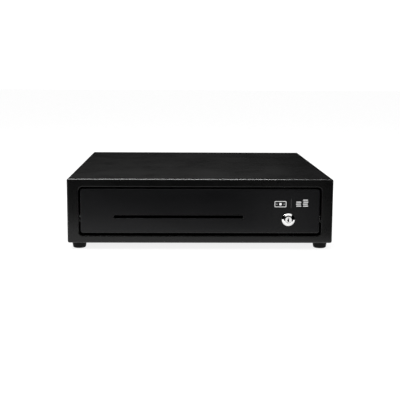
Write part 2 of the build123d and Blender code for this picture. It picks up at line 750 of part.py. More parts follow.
with BuildPart() as striker_pin:
    rod_z(latch_z - 5.0, striker_plate_z, striker_x, striker_y, striker_radius)
    chamfer(striker_pin.edges().group_by(Axis.Z)[0], length=0.8)
    rod_z(striker_plate_z, striker_plate_z + 2.0, striker_x, striker_y, striker_radius - 0.55)
    rod_z(striker_plate_z + 2.0, striker_plate_z + 3.4, striker_x, striker_y, striker_radius + 0.6)
save(striker_pin.part, "striker_pin")

pad_y = back_wall_y + 4.0
with BuildPart() as eject_pad:
    rod_y(back_wall_y, pad_y, 0, post_z, eject_radius + 4.0)
    fillet(eject_pad.edges().group_by(Axis.Y)[-1], radius=1.5)
save(eject_pad.part, "eject_pad")

post_start = pan_back - sheet  # inner face of the rear wall
with BuildPart() as eject_post:
    rod_y(post_start - 2.0, post_start, 0, post_z, eject_radius + 5.0)
    rod_y(post_start - 34.0, post_start - 2.0, 0, post_z, eject_radius - 2.5)
    fillet(eject_post.edges().group_by(Axis.Y)[0], radius=1.5)
    rod_y(post_start, pan_back + 0.2, 0, post_z, 2.5)
    rod_y(pan_back, pan_back + 1.2, 0, post_z, 4.5)
save(eject_post.part, "eject_post")


def coil(start, turns_height, pitch, radius, wire, direction):
    """A helical compression spring from start, along direction."""
    with BuildPart() as spring:
        with BuildLine() as path:
            Helix(pitch, turns_height, radius, center=start, direction=direction)
        with BuildSketch(Plane(origin=path.line @ 0, z_dir=path.line % 0)):
            Circle(wire / 2)
        sweep(path=path.line, is_frenet=True)
    return spring.part


eject_wire = 1.6
eject_length = post_start - 2.0 - pad_y - eject_wire - 0.4
save(
    coil(
        (0, pad_y + eject_wire / 2 + 0.2, post_z), eject_length, eject_length / 8,
        eject_radius, eject_wire, (0, 1, 0),
    ),
    "eject_spring",
)

# The lever is drawn on a plane turned about its pivot, in its released rest pose.
nose_back = striker_y - striker_radius - 0.7  # catches the striker pin
nose_tip = striker_x + 2.0
released = Plane(origin=(pivot_x, pivot_y, latch_z - latch_sheet / 2)).rotated((0, 0, -latch_turn))
nose = nose_back - pivot_y  # in the lever's own frame, with its pivot at the origin
nose_out = nose_tip - pivot_x
with BuildPart() as latch_lever:
    with BuildSketch(released):
        Circle(8.0)
        Rectangle(8.0, 8.0, align=(Align.MIN, Align.MIN))
        with BuildLine():
            Polyline(
                (-4.6, 0.0),
                (-4.6, nose - 16.0),
                (3.0, nose - 16.0),
                (nose_out, nose - 5.5),
                (nose_out, nose),
                (6.0, nose),
                (6.0, 0.0),
                close=True,
            )
        make_face()
        with Locations((0, -link_reach - 0.36)):
            SlotOverall(4.8, 3.5, rotation=90, mode=Mode.SUBTRACT)
        Circle(2.5 + axle_play, mode=Mode.SUBTRACT)
    extrude(amount=latch_sheet)
save(latch_lever.part, "latch_lever")

with BuildPart() as pivot_pin:
    rod_z(bracket_top, latch_z - latch_sheet / 2 - 0.2, pivot_x, pivot_y, 4.5)
    rod_z(latch_z - latch_sheet / 2 - 0.2, latch_z + latch_sheet / 2 + 3.0, pivot_x, pivot_y, 2.5)
    rod_z(bracket_top - 1.5, bracket_top, pivot_x, pivot_y, 2.9)
save(pivot_pin.part, "pivot_pin")

clip_bottom = latch_z + latch_sheet / 2 + 0.3
with BuildPart() as pivot_clip:
    rod_z(clip_bottom, clip_bottom + 0.8, pivot_x, pivot_y, 5.0)
    rod_z(clip_bottom - 1, clip_bottom + 2, pivot_x, pivot_y, 2.5, Mode.SUBTRACT)
    block(
        pivot_x - 1.9, pivot_x + 1.9, pivot_y - 6.0, pivot_y,
        clip_bottom - 1, clip_bottom + 2, Mode.SUBTRACT,
    )
save(pivot_clip.part, "pivot_clip")

plate_left = solenoid_face - solenoid_length - 6.0
plate_right = pivot_x + 9.0
plate_front = arm_y - solenoid_width / 2 - 1.5
plate_back = pan_back - sheet - 1.5
switch_back = plate_back - 1.5
with BuildPart() as latch_bracket:
    block(plate_left, plate_right, plate_front, plate_back, bracket_top - 1.5, bracket_top)
    for x, toe in ((plate_left, -12.0), (plate_right, 12.0)):
        inward = 1.5 if toe < 0 else -1.5
        block(x, x + inward, plate_front, plate_back, pan_floor_z, bracket_top)
        block(x + inward, x + toe, plate_front, plate_back, pan_floor_z, pan_floor_z + 1.5)
    # upstand for the status switch
    block(
        pivot_x - 3.0, plate_right, switch_back, plate_back, bracket_top, latch_z + 5.0
    )
    rod_z(bracket_top - 3, bracket_top + 1, pivot_x, pivot_y, 2.95, Mode.SUBTRACT)
    for x, y in bracket_screws:
        rod_z(
            pan_floor_z - 1, pan_floor_z + 3, x, y, bracket_screw_radius + 0.05, Mode.SUBTRACT
        )
save(latch_bracket.part, "latch_bracket")

with BuildPart() as bracket_screw_set:
    for x, y in bracket_screws:
        rod_z(pan_floor_z - sheet, pan_floor_z + 1.5, x, y, bracket_screw_radius)
        rod_z(pan_floor_z + 1.5, pan_floor_z + 3.5, x, y, 3.0)
    fillet(bracket_screw_set.edges().group_by(Axis.Z)[-1], radius=1.0)
save(bracket_screw_set.part, "bracket_screws")

yoke_left = solenoid_face - solenoid_length
yoke_front = arm_y - solenoid_width / 2
yoke_back = arm_y + solenoid_width / 2
coil_in = plunger_radius + 1.2
coil_out = latch_z - bracket_top - yoke_sheet - 0.6
with BuildPart() as solenoid_yoke:
    block(yoke_left, solenoid_face, yoke_front, yoke_back, bracket_top, bracket_top + yoke_sheet)
    for x, inward in ((yoke_left, yoke_sheet), (solenoid_face, -yoke_sheet)):
        block(x, x + inward, yoke_front, yoke_back, bracket_top, latch_z + coil_out + 0.6)
    rod_x(
        solenoid_face - 2 * yoke_sheet, solenoid_face + 1, arm_y, latch_z,
        plunger_radius + 0.25, Mode.SUBTRACT,
    )
save(solenoid_yoke.part, "solenoid_yoke")

bobbin_left = yoke_left + yoke_sheet
bobbin_right = solenoid_face - yoke_sheet
with BuildPart() as coil_bobbin:
    rod_x(bobbin_left, bobbin_right, arm_y, latch_z, coil_in)
    rod_x(bobbin_left, bobbin_left + 1.5, arm_y, latch_z, coil_out)
    rod_x(bobbin_right - 1.5, bobbin_right, arm_y, latch_z, coil_out)
    rod_x(bobbin_left, bobbin_right, arm_y, latch_z, plunger_radius + 0.25, Mode.SUBTRACT)
save(coil_bobbin.part, "coil_bobbin")

with BuildPart() as coil_winding:
    rod_x(bobbin_left + 1.5, bobbin_right - 1.5, arm_y, latch_z, coil_out - 0.5)
    rod_x(bobbin_left, bobbin_right, arm_y, latch_z, coil_in, Mode.SUBTRACT)
save(coil_winding.part, "coil_winding")

collar_x = solenoid_face + 4.6
fork_end = link_x + 4.0
fork_gap = latch_sheet / 2 + 0.3
with BuildPart() as solenoid_plunger:
    rod_x(yoke_left + 8.0, fork_end, arm_y, latch_z, plunger_radius)
    chamfer(solenoid_plunger.edges(), length=0.5)
    rod_x(collar_x, collar_x + 1.2, arm_y, latch_z, plunger_radius + 2.5)
    block(
        collar_x + 1.4, fork_end + 1, arm_y - 10, arm_y + 10,
        latch_z - fork_gap, latch_z + fork_gap, Mode.SUBTRACT,
    )
    rod_z(latch_z - 10, latch_z + 10, link_x, arm_y, 1.5, Mode.SUBTRACT)
save(solenoid_plunger.part, "solenoid_plunger")

with BuildPart() as link_pin:
    rod_z(latch_z - 5.5, latch_z + 5.5, link_x, arm_y, 1.5)
    rod_z(latch_z + plunger_radius, latch_z + 5.5, link_x, arm_y, 2.4)
save(link_pin.part, "link_pin")

plunger_wire = 0.8
plunger_gap = collar_x - solenoid_face - plunger_wire - 0.3
save(
    coil(
        (solenoid_face + plunger_wire / 2 + 0.15, arm_y, latch_z), plunger_gap, plunger_gap / 3,
        plunger_radius + 1.2, plunger_wire, (1, 0, 0),
    ),
    "plunger_spring",
)

button_x = pivot_x + 4.4
switch_front = switch_back - 6.2
edge_turn = math.radians(latch_turn)
# rear edge of the lever's tail where it meets the button, in the released pose
tail_edge = (8.0 - 4.4 * math.sin(edge_turn)) / math.cos(edge_turn)
button_tip = pivot_y + tail_edge + 0.15
with BuildPart() as switch_body:
    block(
        button_x - 4.4, button_x + 6.0, switch_front, switch_back, latch_z - 2.9, latch_z + 2.9
    )
    fillet(switch_body.edges().filter_by(Axis.Z), radius=0.6)
    rod_y(switch_front - 1, switch_front + 4.0, button_x, latch_z, 1.0, Mode.SUBTRACT)
    for x in (button_x - 2.6, button_x + 4.2):
        rod_z(latch_z - 4, latch_z + 4, x, switch_back - 1.6, 0.8, Mode.SUBTRACT)
save(switch_body.part, "switch_body")

with BuildPart() as switch_button:
    rod_y(button_tip, switch_front + 2.4, button_x, latch_z, 0.8)
    fillet(switch_button.edges().group_by(Axis.Y)[0], radius=0.4)
save(switch_button.part, "switch_button")

# ---------------------------------------------------------------- printer socket and wiring

board_z = jack_z - 1.6
board_x0, board_x1 = jack_x - 9.0, jack_x + 16.0
board_back = pan_back - sheet - 0.5
board_front = board_back - 28.0
with BuildPart() as jack_board:
    block(board_x0, board_x1, board_front, board_back, board_z, jack_z)
    for x in (board_x0 + 3.5, board_x1 - 3.5):
        rod_z(board_z - 1, jack_z + 1, x, board_front + 3.5, 1.6, Mode.SUBTRACT)
save(jack_board.part, "jack_board")

with BuildPart() as board_posts:
    for x in (board_x0 + 3.5, board_x1 - 3.5):
        rod_z(pan_floor_z, board_z, x, board_front + 3.5, 3.0)
        rod_z(board_z, jack_z + 1.0, x, board_front + 3.5, 1.55)
save(board_posts.part, "board_posts")

jack_face = pan_back + 0.4
cavity_width, cavity_height, cavity_depth = 9.9, 6.8, 12.0
with BuildPart() as cable_jack:
    block(
        jack_x - jack_width / 2, jack_x + jack_width / 2, jack_face - jack_length, jack_face,
        jack_z, jack_z + jack_height,
    )
    block(
        jack_x - cavity_width / 2, jack_x + cavity_width / 2,
        jack_face - cavity_depth, jack_face + 1,
        jack_z + 3.2, jack_z + 3.2 + cavity_height, Mode.SUBTRACT,
    )
    block(
        jack_x - 3.2, jack_x + 3.2, jack_face - cavity_depth, jack_face + 1,
        jack_z + 1.2, jack_z + 3.4, Mode.SUBTRACT,
    )
save(cable_jack.part, "cable_jack")

wire_radius = 0.8
wire_bend = 4.0
winding_side = arm_y + coil_out - 0.5
with BuildPart() as coil_wires:
    for n in (0, 1):
        start = (board_x1 - 10.0, board_front + 9.0 - 4.0 * n, jack_z)
        end_x = yoke_left + 7.0 + 5.0 * n
        end_y = yoke_back + 6.0 - 2.5 * n
        with BuildLine() as wire_path:
            FilletPolyline(
                start,
                (start[0], start[1], bracket_top + wire_radius),
                (end_x, end_y, bracket_top + wire_radius),
                (end_x, end_y, latch_z),
                (end_x, winding_side, latch_z),
                radius=wire_bend,
            )
        with BuildSketch(Plane(start)):
            Circle(wire_radius)
        sweep(path=wire_path.line)
save(coil_wires.part, "coil_wires")
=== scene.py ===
import json
import math

import bmesh
import bpy
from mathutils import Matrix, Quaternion, Vector


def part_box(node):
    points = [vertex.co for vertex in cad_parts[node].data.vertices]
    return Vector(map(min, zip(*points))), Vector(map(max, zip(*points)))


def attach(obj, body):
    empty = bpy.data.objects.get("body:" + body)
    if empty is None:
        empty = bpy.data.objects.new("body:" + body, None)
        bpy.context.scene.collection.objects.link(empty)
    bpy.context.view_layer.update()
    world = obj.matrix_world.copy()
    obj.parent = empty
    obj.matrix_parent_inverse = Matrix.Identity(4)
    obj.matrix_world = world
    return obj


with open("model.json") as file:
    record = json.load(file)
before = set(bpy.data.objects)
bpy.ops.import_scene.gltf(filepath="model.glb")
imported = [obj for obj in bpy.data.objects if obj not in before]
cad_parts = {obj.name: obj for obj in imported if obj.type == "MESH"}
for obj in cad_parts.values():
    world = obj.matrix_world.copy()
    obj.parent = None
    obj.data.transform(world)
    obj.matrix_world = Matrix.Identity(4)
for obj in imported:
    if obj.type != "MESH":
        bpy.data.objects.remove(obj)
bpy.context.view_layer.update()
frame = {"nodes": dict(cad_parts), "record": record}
nodes = frame["nodes"]
scene = bpy.context.scene


# ---------------------------------------------------------------- node helpers

class Graph:
    """A material's node tree, with short names for the nodes that the finishes share."""

    def __init__(self, name):
        self.material = bpy.data.materials.new(name)
        self.material.use_nodes = True
        self.tree = self.material.node_tree
        self.shader = self.tree.nodes["Principled BSDF"]
        self.coords = self.tree.nodes.new("ShaderNodeTexCoord")

    def link(self, source, node, socket):
        self.tree.links.new(source, node.inputs[socket])

    def mapped(self, scale=1.0, rotation=(0, 0, 0)):
        """Object coordinates, which are metres, times scale: one number or one for each axis."""
        m = self.tree.nodes.new("ShaderNodeMapping")
        m.inputs["Scale"].default_value = scale if hasattr(scale, "__len__") else (scale,) * 3
        m.inputs["Rotation"].default_value = rotation
        self.link(self.coords.outputs["Object"], m, "Vector")
        return m.outputs["Vector"]

    def noise(self, vector, scale, detail, rough, distortion=0.0):
        n = self.tree.nodes.new("ShaderNodeTexNoise")
        n.inputs["Scale"].default_value = scale
        n.inputs["Detail"].default_value = detail
        n.inputs["Roughness"].default_value = rough
        n.inputs["Distortion"].default_value = distortion
        self.link(vector, n, "Vector")
        return n.outputs["Fac"]

    def voronoi(self, vector, scale, feature="F1", output="Distance", random=1.0):
        n = self.tree.nodes.new("ShaderNodeTexVoronoi")
        n.feature = feature
        n.inputs["Scale"].default_value = scale
        n.inputs["Randomness"].default_value = random
        self.link(vector, n, "Vector")
        return n.outputs[output]

    def wave(self, vector, scale, direction, distortion):
        n = self.tree.nodes.new("ShaderNodeTexWave")
        n.bands_direction = direction
        n.inputs["Scale"].default_value = scale
        n.inputs["Distortion"].default_value = distortion
        self.link(vector, n, "Vector")
        return n.outputs["Fac"]

    def spread(self, value, low, high, at=0.3, to=0.7):
        """Stretches a 0 to 1 pattern over low to high, as its value goes from `at` to `to`."""
        r = self.tree.nodes.new("ShaderNodeMapRange")
        r.inputs["From Min"].default_value = at
        r.inputs["From Max"].default_value = to
        r.inputs["To Min"].default_value = low
        r.inputs["To Max"].default_value = high
        self.link(value, r, "Value")
        return r.outputs["Result"]

    def add(self, a, b):
        m = self.tree.nodes.new("ShaderNodeMath")
        m.operation = "ADD"
        self.link(a, m, 0)
        self.link(b, m, 1)
        return m.outputs["Value"]

    def times(self, a, factor):
        m = self.tree.nodes.new("ShaderNodeMath")
        m.operation = "MULTIPLY"
        self.link(a, m, 0)
        m.inputs[1].default_value = factor
        return m.outputs["Value"]

    def colours(self, value, *stops):
        """A colour ramp: (position, (r, g, b)) stops over a 0 to 1 pattern."""
        ramp = self.tree.nodes.new("ShaderNodeValToRGB")
        elements = ramp.color_ramp.elements
        while len(elements) < len(stops):
            elements.new(0.5)
        for element, (at, rgb) in zip(elements, stops):
            element.position = at
            element.color = (*rgb, 1.0)
        self.link(value, ramp, "Fac")
        return ramp.outputs["Color"]

    def mix(self, factor, a, rgb):
        """Colour a, turning to rgb as the factor goes from 0 to 1."""
        m = self.tree.nodes.new("ShaderNodeMix")
        m.data_type = "RGBA"
        self.link(factor, m, "Factor")
        colour_a, colour_b, result = 6, 7, 2  # its colour sockets; earlier ones are for other types
        self.tree.links.new(a, m.inputs[colour_a])
        m.inputs[colour_b].default_value = (*rgb, 1.0)
        return m.outputs[result]

    def bump(self, height, distance, strength=1.0, below=None):
        b = self.tree.nodes.new("ShaderNodeBump")
        b.inputs["Strength"].default_value = strength
        b.inputs["Distance"].default_value = distance
        self.link(height, b, "Height")
        if below is not None:
            self.link(below, b, "Normal")
        return b.outputs["Normal"]

    def finish(self, colour, rough, normal=None, **constants):
        """Links the three patterns to the shader; a constant's name has _ for each space."""
        for name, value in (("Base Color", colour), ("Roughness", rough), ("Normal", normal)):
            if value is not None:
                self.link(value, self.shader, name)
        for name, value in constants.items():
            self.shader.inputs[name.replace("_", " ")].default_value = value
        return self.material


def grey(level, tint=(1.0, 1.0, 1.0)):
    """A neutral colour, or one leaning to the tint."""
    return tuple(level * t for t in tint)


# ---------------------------------------------------------------- finishes

# A finish's level is its brightness, grain its bumps a metre, depth their height in metres, and
# rough the lowest and highest roughness. Each mapped() pattern has its own scale a metre.

def powder_coat(name, level, grain, depth, rough, specular=0.22):
    """Black powder coat: orange peel and fine grain, soft cloudy sheen and faint dust."""
    g = Graph(name)
    cloud = g.noise(g.mapped(), 14.0, detail=4.0, rough=0.6)
    speck = g.noise(g.mapped(), grain * 1.7, detail=2.0, rough=0.6)
    peel = g.noise(g.mapped(), grain * 0.45, detail=2.0, rough=0.5)
    grit = g.noise(g.mapped(), grain, detail=3.0, rough=0.65)
    base = g.colours(cloud, (0.3, grey(level * 0.86)), (0.7, grey(level * 1.14)))
    fleck = g.spread(speck, 0.0, 0.3, at=0.55, to=0.8)
    colour = g.mix(fleck, base, grey(level * 2.1))
    sheen = g.add(g.spread(cloud, *rough), g.spread(grit, -0.03, 0.03))
    normal = g.bump(grit, depth, 0.6, g.bump(peel, depth * 1.6, 0.5))
    return g.finish(colour, sheen, normal, Specular_IOR_Level=specular)


def moulded(name, level, grain, depth, rough, tint=(1.0, 1.0, 1.0), specular=0.22):
    """Moulded plastic: spark-eroded grain with slow flow marks across it."""
    g = Graph(name)
    flow = g.noise(g.mapped((6.0, 20.0, 20.0)), 1.0, detail=3.0, rough=0.5, distortion=0.6)
    cells = g.voronoi(g.mapped(), grain)
    fine = g.noise(g.mapped(), grain * 1.4, detail=2.0, rough=0.6)
    colour = g.colours(flow, (0.3, grey(level * 0.9, tint)), (0.7, grey(level * 1.1, tint)))
    sheen = g.add(g.spread(flow, *rough), g.spread(fine, -0.02, 0.03))
    normal = g.bump(fine, depth, 0.4, g.bump(cells, depth, 0.55))
    return g.finish(colour, sheen, normal, Specular_IOR_Level=specular)


def zinc_sheet(name, level):
    """Zinc-plated sheet: faint spangle, rolling streaks and dull patches."""
    g = Graph(name)
    spangle = g.voronoi(g.mapped(), 160.0, output="Color")
    flakes = g.tree.nodes.new("ShaderNodeSeparateColor")
    g.link(spangle, flakes, "Color")
    streak = g.noise(g.mapped((900.0, 12.0, 900.0)), 1.0, detail=3.0, rough=0.6)
    patch = g.noise(g.mapped(), 22.0, detail=4.0, rough=0.6)
    tone = g.add(g.times(flakes.outputs["Red"], 0.35), patch)
    colour = g.colours(
        tone,
        (0.35, grey(level * 0.8, (0.98, 1.0, 1.02))),
        (0.95, grey(level * 1.16, (1.0, 1.0, 0.99))),
    )
    sheen = g.add(g.spread(patch, 0.34, 0.5), g.spread(streak, -0.05, 0.06))
    normal = g.bump(streak, 0.00001, 0.35)
    return g.finish(colour, sheen, normal, Metallic=1.0)


def drawn_steel(name, level, stretch, rough=(0.26, 0.4), tint=(1.0, 1.0, 1.0)):
    """Rolled, turned or drawn steel: lines along the axis of least stretch, handling marks."""
    g = Graph(name)
    lines = g.noise(g.mapped(stretch), 1.0, detail=3.0, rough=0.6)
    marks = g.noise(g.mapped(), 45.0, detail=5.0, rough=0.65)
    colour = g.colours(marks, (0.3, grey(level * 0.84, tint)), (0.72, grey(level * 1.12, tint)))
    sheen = g.add(g.spread(marks, *rough), g.spread(lines, -0.05, 0.05))
    normal = g.bump(lines, 0.000012, 0.45)
    return g.finish(colour, sheen, normal, Metallic=1.0)


def plated(name, level, rough, scale):
    """Chrome or nickel plate: mirror with hairline wipe marks and a slightly hazy film."""
    g = Graph(name)
    haze = g.noise(g.mapped(), scale, detail=4.0, rough=0.6)
    hair = g.noise(g.mapped((500.0, 500.0, 3500.0), (0.0, 0.6, 0.2)), 1.0, detail=2.0, rough=0.6)
    colour = g.colours(haze, (0.3, grey(level * 0.92)), (0.7, grey(level * 1.05, (1.0, 1.0, 0.99))))
    sheen = g.add(g.spread(haze, *rough), g.spread(hair, -0.015, 0.03))
    normal = g.bump(hair, 0.000003, 0.25)
    return g.finish(colour, sheen, normal, Metallic=1.0)


def rubber(name, level, rough, specular=0.35):
    """Matt rubber: fine pitting, a pale bloom and scuffs."""
    g = Graph(name)
    pits = g.noise(g.mapped(), 1400.0, detail=3.0, rough=0.6)
    bloom = g.noise(g.mapped(), 90.0, detail=4.0, rough=0.6)
    dusty = grey(level * 1.7, (1.0, 0.98, 0.95))
    colour = g.colours(bloom, (0.35, grey(level * 0.85)), (0.8, dusty))
    sheen = g.spread(bloom, *rough)
    normal = g.bump(pits, 0.00004, 0.5)
    return g.finish(colour, sheen, normal, Specular_IOR_Level=specular)


def copper_winding(name):
    """Enamelled wire laid side by side, with crossings and painted shade in the grooves between
    turns.
    """
    g = Graph(name)
    turns = g.wave(g.mapped(1000.0), 0.55, "X", 0.6)
    drift = g.noise(g.mapped(), 260.0, detail=3.0, rough=0.55)
    # Painted shade: the colour is near black in the grooves between turns and copper on their
    # crests.
    colour = g.colours(
        turns,
        (0.05, (0.09, 0.028, 0.012)),
        (0.5, (0.42, 0.16, 0.07)),
        (0.95, (0.68, 0.3, 0.15)),
    )
    sheen = g.spread(drift, 0.2, 0.36)
    normal = g.bump(turns, 0.00022, 0.8)
    return g.finish(colour, sheen, normal, Metallic=0.85)


def circuit_board(name):
    """Solder mask over copper tracks: a woven laminate with paths that stand slightly proud."""
    g = Graph(name)
    tracks = g.voronoi(g.mapped((1.0, 0.55, 1.0)), 330.0, "DISTANCE_TO_EDGE", random=0.75)
    path = g.spread(tracks, 1.0, 0.0, at=0.05, to=0.11)
    weave = g.wave(g.mapped(1000.0), 0.7, "DIAGONAL", 0.3)
    plain = g.colours(weave, (0.2, (0.006, 0.06, 0.022)), (0.8, (0.01, 0.085, 0.032)))
    colour = g.mix(path, plain, (0.025, 0.17, 0.06))
    sheen = g.spread(weave, 0.22, 0.34)
    normal = g.bump(path, 0.00005, 0.6)
    return g.finish(colour, sheen, normal)


def soft_plastic(name, rgb, rough, grain=700.0, subsurface=0.0):
    """Nylon, acetal or PVC in a plain colour: slight mottling, drawn sheen, fine ripple."""
    g = Graph(name)
    mottle = g.noise(g.mapped(), 60.0, detail=4.0, rough=0.55)
    ripple = g.noise(g.mapped(), grain, detail=2.0, rough=0.5)
    dark, light = tuple(c * 0.82 for c in rgb), tuple(min(1.0, c * 1.14) for c in rgb)
    colour = g.colours(mottle, (0.3, dark), (0.7, light))
    sheen = g.add(g.spread(mottle, *rough), g.spread(ripple, -0.02, 0.03))
    normal = g.bump(ripple, 0.00002, 0.4)
    return g.finish(colour, sheen, normal, Subsurface_Weight=subsurface, Subsurface_Scale=0.002)


def screen_print(name, level):
    """Pad-printed ink: slightly raised, with broken cover at its edges."""
    g = Graph(name)
    cover = g.noise(g.mapped(), 900.0, detail=4.0, rough=0.7)
    colour = g.colours(cover, (0.25, grey(level * 0.72)), (0.6, grey(level)))
    sheen = g.spread(cover, 0.42, 0.6)
    normal = g.bump(cover, 0.00001, 0.4)
    return g.finish(colour, sheen, normal)


FINISHES = {
    "cover_paint": powder_coat("cover_paint", 0.0022, 900.0, 0.00002, (0.26, 0.32), 0.34),
    "pan_zinc": zinc_sheet("pan_zinc", 0.56),
    "drawer_paint": powder_coat("drawer_paint", 0.007, 700.0, 0.000012, (0.32, 0.42), 0.45),
    "front_plastic": moulded(
        "front_plastic", 0.003, 1500.0, 0.000018, (0.31, 0.37), (0.95, 0.97, 1.16), 0.32
    ),
    "foot_rubber": rubber("foot_rubber", 0.0035, (0.62, 0.8), 0.15),
    "screw_black": powder_coat("screw_black", 0.02, 2200.0, 0.000008, (0.25, 0.4)),
    "screw_zinc": drawn_steel(
        "screw_zinc", 0.66, (900.0, 900.0, 900.0), (0.2, 0.36), (1.0, 0.99, 0.95)
    ),
    "rail_steel": drawn_steel("rail_steel", 0.56, (900.0, 14.0, 900.0)),
    "bearing_steel": plated("bearing_steel", 0.66, (0.12, 0.2), 160.0),
    "lock_chrome": plated("lock_chrome", 0.82, (0.06, 0.12), 130.0),
    "plug_nickel": plated("plug_nickel", 0.8, (0.11, 0.17), 190.0),
    "spring_steel": drawn_steel("spring_steel", 0.42, (900.0, 900.0, 900.0), (0.22, 0.34)),
    "till_plastic": moulded("till_plastic", 0.016, 1100.0, 0.00003, (0.42, 0.54)),
    "insert_plastic": moulded("insert_plastic", 0.022, 1100.0, 0.00003, (0.4, 0.52)),
    "clip_plastic": soft_plastic("clip_plastic", (0.05, 0.05, 0.055), (0.22, 0.34)),
    "nylon_white": soft_plastic("nylon_white", (0.62, 0.6, 0.54), (0.34, 0.46), 500.0, 0.15),
    "coil_copper": copper_winding("coil_copper"),
    "board_green": circuit_board("board_green"),
    "jack_black": moulded("jack_black", 0.014, 1800.0, 0.00001, (0.24, 0.34)),
    "wire_red": soft_plastic("wire_red", (0.42, 0.022, 0.016), (0.26, 0.4)),
    "pad_rubber": rubber("pad_rubber", 0.025, (0.5, 0.7)),
}
slot_of = {s["node"]: s["material_slot"] for s in frame["record"]["subparts"]}
for name, node in nodes.items():
    finish = FINISHES[slot_of[name]]
    if not node.material_slots:
        node.data.materials.append(finish)
    for place in node.material_slots:
        place.material = finish


# ---------------------------------------------------------------- pieces

def new_piece(name, bm, material, body, smooth):
    """Turns a bmesh into a piece that rides on a body and takes its finish from a slot."""
    bmesh.ops.recalc_face_normals(bm, faces=bm.faces)
    mesh = bpy.data.meshes.new(name)
    bm.to_mesh(mesh)
    bm.free()
    piece = bpy.data.objects.new(name, mesh)
    scene.collection.objects.link(piece)
    mesh.materials.append(material)
    if smooth:
        mesh.shade_smooth()
    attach(piece, body)


def ribbon(bm, points, width, closed, front, back):
    """Adds a printed line of a given width that follows (x, z) points, from y front to y back."""
    shortest_run, sharpest_corner = 1e-9, 0.2
    count = len(points)
    loops = []
    for i, (x, z) in enumerate(points):
        before = points[i - 1] if closed or i else points[i]
        after = points[(i + 1) % count] if closed or i < count - 1 else points[i]
        along = Vector((after[0] - before[0], after[1] - before[1])).normalized()
        enter = Vector((x - before[0], z - before[1]))
        # A corner is cut across its middle, so it is wider there than along the line.
        stretch = 1.0
        if enter.length > shortest_run and enter.normalized().dot(along) > sharpest_corner:
            stretch = 1.0 / enter.normalized().dot(along)
        side = Vector((-along.y, along.x)) * width / 2 * stretch
        loops.append([
            bm.verts.new((x + s * side.x, y, z + s * side.y))
            for s, y in ((1, front), (-1, front), (-1, back), (1, back))
        ])
    for i in range(count if closed else count - 1):
        a, b = loops[i], loops[(i + 1) % count]
        for k in range(4):
            bm.faces.new((a[k], a[(k + 1) % 4], b[(k + 1) % 4], b[k]))
    if not closed:
        bm.faces.new(loops[0][::-1])
        bm.faces.new(loops[-1])


def disc_points(cx, cz, radius, steps=24):
    """The (x, z) outline of a disc."""
    return [
        (cx + radius * math.cos(math.radians(360.0 * k / steps)),
         cz + radius * math.sin(math.radians(360.0 * k / steps)))
        for k in range(steps)
    ]


def rounded_points(x0, x1, z0, z1, radius):
    """The (x, z) outline of a rectangle with rounded corners."""
    steps = 5
    points = []
    for cx, cz, start in ((x1 - radius, z1 - radius, 0), (x0 + radius, z1 - radius, 90),
                          (x0 + radius, z0 + radius, 180), (x1 - radius, z0 + radius, 270)):
        points += [
            (cx + radius * math.cos(math.radians(start + 90 * k / steps)),
             cz + radius * math.sin(math.radians(start + 90 * k / steps)))
            for k in range(steps + 1)
        ]
    return points


def plate(bm, points, front, back):
    """Adds a solid printed shape with the outline of (x, z) points, from y front to y back."""
    face = [bm.verts.new((x, front, z)) for x, z in points]
    rear = [bm.verts.new((x, back, z)) for x, z in points]
    bm.faces.new(face)
    bm.faces.new(rear[::-1])
    for i in range(len(points)):
        j = (i + 1) % len(points)
        bm.faces.new((face[i], face[j], rear[j], rear[i]))


# Printed signs over the lock: a banknote, a dividing line and two stacks of coins.
front_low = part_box("drawer_front")[0]
lock_low, lock_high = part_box("lock_barrel")
lock_x = (lock_low.x + lock_high.x) / 2
lock_z = (lock_low.z + lock_high.z) / 2
ink_proud, ink_sunk = 0.00006, 0.0002
ink = (front_low.y - ink_proud, front_low.y + ink_sunk)

note_x, note_z = lock_x - 0.0125, lock_z + 0.0242
note_half, note_rise, note_corner, note_line = 0.0086, 0.0042, 0.0007, 0.0009
medallion_radius, dot_radius, dot_offset = 0.0021, 0.0006, 0.0056
coin_half, coin_thick, coin_pitch, coin_corner = 0.0039, 0.0015, 0.0031, 0.00085
coin_foot, coin_shift = lock_z + 0.0205, 0.00025
stacks = ((lock_x + 0.0155, 3), (lock_x + 0.0262, 4))

bm = bmesh.new()
note = rounded_points(
    note_x - note_half, note_x + note_half, note_z - note_rise, note_z + note_rise, note_corner
)
ribbon(bm, note, note_line, True, *ink)
plate(bm, disc_points(note_x, note_z, medallion_radius), *ink)
for s in (-1, 1):
    plate(bm, disc_points(note_x + s * dot_offset, note_z, dot_radius, steps=12), *ink)
for stack_x, coins in stacks:
    for k in range(coins):
        x = stack_x + coin_shift * (-1) ** k
        z = coin_foot + k * coin_pitch
        coin = rounded_points(x - coin_half, x + coin_half, z, z + coin_thick, coin_corner)
        plate(bm, coin, *ink)
sign_ink = screen_print("sign_ink", 0.72)
new_piece("printed_signs", bm, sign_ink, "drawer", smooth=False)

divider_x, divider_foot, divider_top = lock_x + 0.0041, lock_z + 0.0185, lock_z + 0.0325
divider_line = 0.0005
bm = bmesh.new()
ribbon(bm, [(divider_x, divider_foot), (divider_x, divider_top)], divider_line, False, *ink)
divider_ink = screen_print("divider_ink", 0.07)
new_piece("printed_divider", bm, divider_ink, "drawer", smooth=False)


def turned_ring(name, profile, centre, axis, material, body):
    """Spins a closed (along, radius) profile round an axis through centre."""
    steps = 48
    bm = bmesh.new()
    frame_of = Vector(axis).to_track_quat("Z", "Y").to_matrix()
    rings = []
    for k in range(steps):
        angle = 2 * math.pi * k / steps
        out = frame_of @ Vector((math.cos(angle), math.sin(angle), 0))
        rings.append([
            bm.verts.new(Vector(centre) + out * r + Vector(axis) * a) for a, r in profile
        ])
    for k in range(steps):
        here, there = rings[k], rings[(k + 1) % steps]
        for i in range(len(profile)):
            j = (i + 1) % len(profile)
            bm.faces.new((here[i], here[j], there[j], there[i]))
    new_piece(name, bm, material, body, smooth=True)


